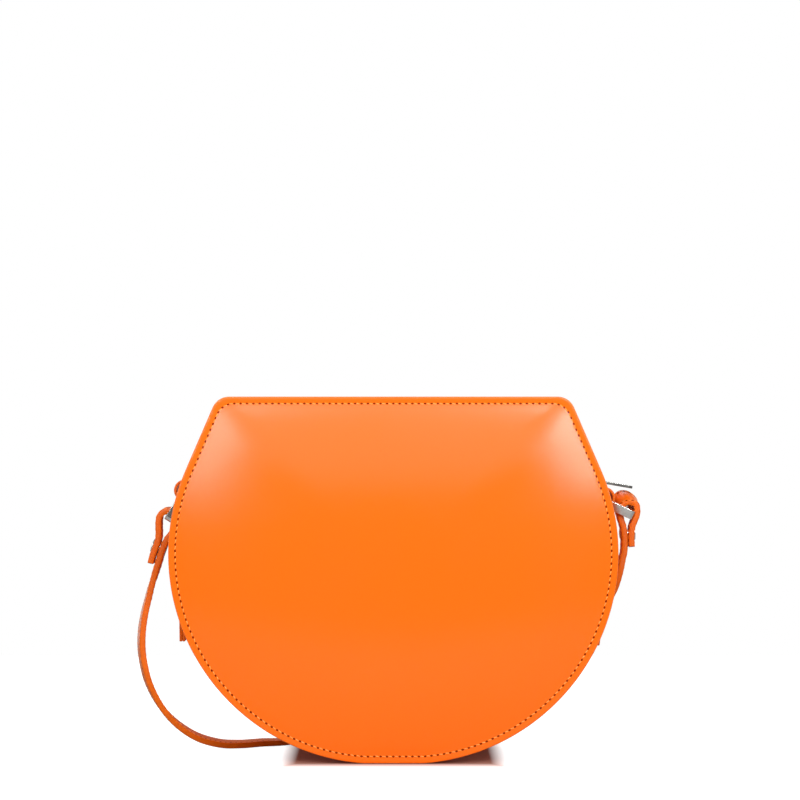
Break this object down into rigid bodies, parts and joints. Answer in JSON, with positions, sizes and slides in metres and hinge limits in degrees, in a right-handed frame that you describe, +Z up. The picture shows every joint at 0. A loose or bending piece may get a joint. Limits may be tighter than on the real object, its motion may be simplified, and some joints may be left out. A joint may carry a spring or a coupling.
{
  "type": "half moon shoulder bag",
  "caption": "Structured half moon shoulder bag with a zip closure, side rings and one long leather strap lying on the surface.",
  "frame": {"origin": "on the resting surface, under the middle of the bag's body", "axes": "+X to the bag's right seen from the front, +Y from the front panel to the back panel, +Z up"},
  "size_m": [0.2414, 0.193, 0.1711],
  "materials": {
    "orange_leather": "smooth semi-gloss",
    "stiffening_board": "bonded board, matte",
    "lining_cloth": "woven cotton",
    "zip_tape": "woven tape",
    "nickel": "polished"
  },
  "bodies": {
    "bag": {"front_panel": "orange_leather", "back_panel": "orange_leather", "lower_gusset": "orange_leather", "zip_strip_front": "orange_leather", "zip_strip_back": "orange_leather", "side_tab_left": "orange_leather", "side_tab_right": "orange_leather", "shoulder_strap": "orange_leather", "front_board": "stiffening_board", "back_board": "stiffening_board", "front_lining": "lining_cloth", "back_lining": "lining_cloth", "gusset_lining": "lining_cloth", "slip_pocket": "lining_cloth", "zip_tape_front": "zip_tape", "zip_tape_back": "zip_tape", "zip_teeth_front": "nickel", "zip_teeth_back": "nickel", "zip_top_stop": "nickel", "zip_bottom_stop": "nickel"},
    "slider": {"zip_slider": "nickel"},
    "pull": {"zip_pull": "nickel"},
    "left_ring": {"ring_left": "nickel", "strap_stud_left": "nickel", "strap_stud_cap_left": "nickel"},
    "right_ring": {"ring_right": "nickel", "strap_stud_right": "nickel", "strap_stud_cap_right": "nickel"}
  },
  "joints": [
    {"name": "zip_slide", "type": "slide", "parent": "bag", "child": "slider", "axis": [-0.3972, 0, 0.9178], "range_m": [0, 0.024]},
    {"name": "pull_hinge", "type": "hinge", "parent": "slider", "child": "pull", "pos_m": [0.09421, 0, 0.13113], "axis": [0, -1, 0], "range_deg": [-5, 122]},
    {"name": "left_ring_hinge", "type": "hinge", "parent": "bag", "child": "left_ring", "pos_m": [-0.09952, 0, 0.12635], "axis": [0, 1, 0], "range_deg": [-4, 120], "deforming": ["shoulder_strap"]},
    {"name": "right_ring_hinge", "type": "hinge", "parent": "bag", "child": "right_ring", "pos_m": [0.10062, 0, 0.12275], "axis": [0, -1, 0], "range_deg": [-4, 88], "deforming": ["shoulder_strap"]}
  ]
}
